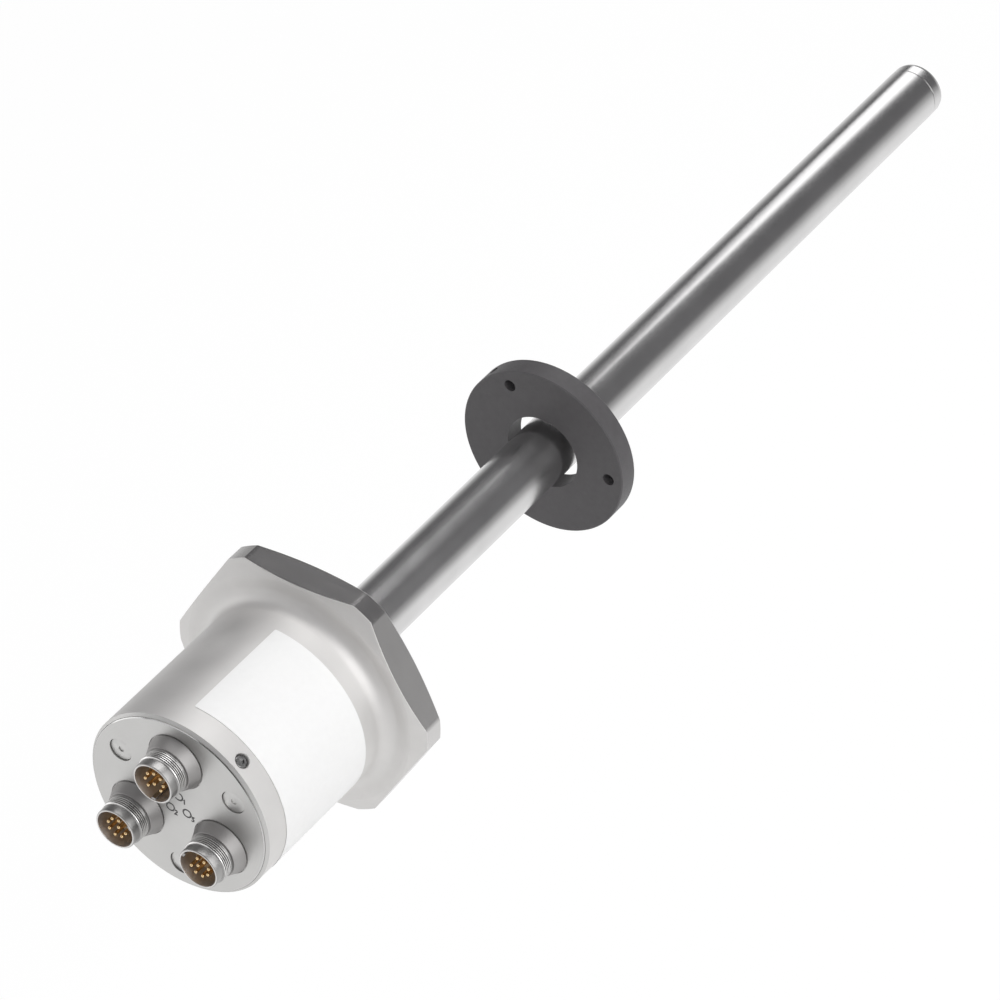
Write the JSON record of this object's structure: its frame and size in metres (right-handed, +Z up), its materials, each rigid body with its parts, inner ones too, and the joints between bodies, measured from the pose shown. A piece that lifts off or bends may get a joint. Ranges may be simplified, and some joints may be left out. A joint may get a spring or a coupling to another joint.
{
  "type": "magnetostrictive linear position sensor",
  "caption": "Screw-in rod position sensor: round steel housing with hexagon flange and threaded stud, measuring rod, plug connectors on the end cap and a ring magnet sliding along the rod.",
  "frame": {"origin": "centre of the flange's mounting face, on the rod's axis", "axes": "+X along the rod from the mounting face to its tip, +Z up, through a flat of the hexagon"},
  "size_m": [0.4752, 0.0974, 0.088],
  "materials": {
    "housing_steel": "satin turned stainless steel",
    "cap_steel": "satin turned stainless steel",
    "screw_steel": "satin stainless steel",
    "dark_screw": "blackened steel",
    "connector_nickel": "nickel plated brass",
    "insert_plastic": "moulded dark brown plastic",
    "contact_gold": "gold plated",
    "rubber": "black rubber",
    "label_foil": "plain white foil",
    "rod_steel": "ground and polished stainless steel",
    "magnet_body": "dark grey anodised",
    "pillar_brass": "plated brass",
    "holder_plastic": "natural moulded plastic",
    "coil_copper": "enamelled copper",
    "wire_alloy": "drawn alloy wire",
    "board_laminate": "green board"
  },
  "bodies": {
    "sensor": {"board_pillars": "pillar_brass", "board_spacers": "holder_plastic", "cap_screws": "screw_steel", "cap_seal": "rubber", "circuit_board_1": "board_laminate", "circuit_board_2": "board_laminate", "circuit_board_3": "board_laminate", "coil_holder": "holder_plastic", "connector_insert_1": "insert_plastic", "connector_insert_2": "insert_plastic", "connector_insert_3": "insert_plastic", "connector_pins_1": "contact_gold", "connector_pins_2": "contact_gold", "connector_pins_3": "contact_gold", "connector_seal_1": "rubber", "connector_seal_2": "rubber", "connector_seal_3": "rubber", "connector_shell_1": "connector_nickel", "connector_shell_2": "connector_nickel", "connector_shell_3": "connector_nickel", "end_cap": "cap_steel", "end_damper": "rubber", "flange_seal": "rubber", "guide_tube_1": "holder_plastic", "guide_tube_2": "holder_plastic", "guide_tube_3": "holder_plastic", "housing": "housing_steel", "label": "label_foil", "lock_screw": "dark_screw", "pickup_coil_1": "coil_copper", "pickup_coil_2": "coil_copper", "pickup_coil_3": "coil_copper", "return_wire_1": "coil_copper", "return_wire_2": "coil_copper", "return_wire_3": "coil_copper", "rod_end_plug": "rod_steel", "rod_tube": "rod_steel", "spacer_discs": "holder_plastic", "waveguide_1": "wire_alloy", "waveguide_2": "wire_alloy", "waveguide_3": "wire_alloy"},
    "magnet": {"position_magnet": "magnet_body"}
  },
  "joints": [
    {"name": "magnet_slide", "type": "slide", "parent": "sensor", "child": "magnet", "axis": [1, 0, 0], "range_m": [-0.106, 0.194]}
  ]
}
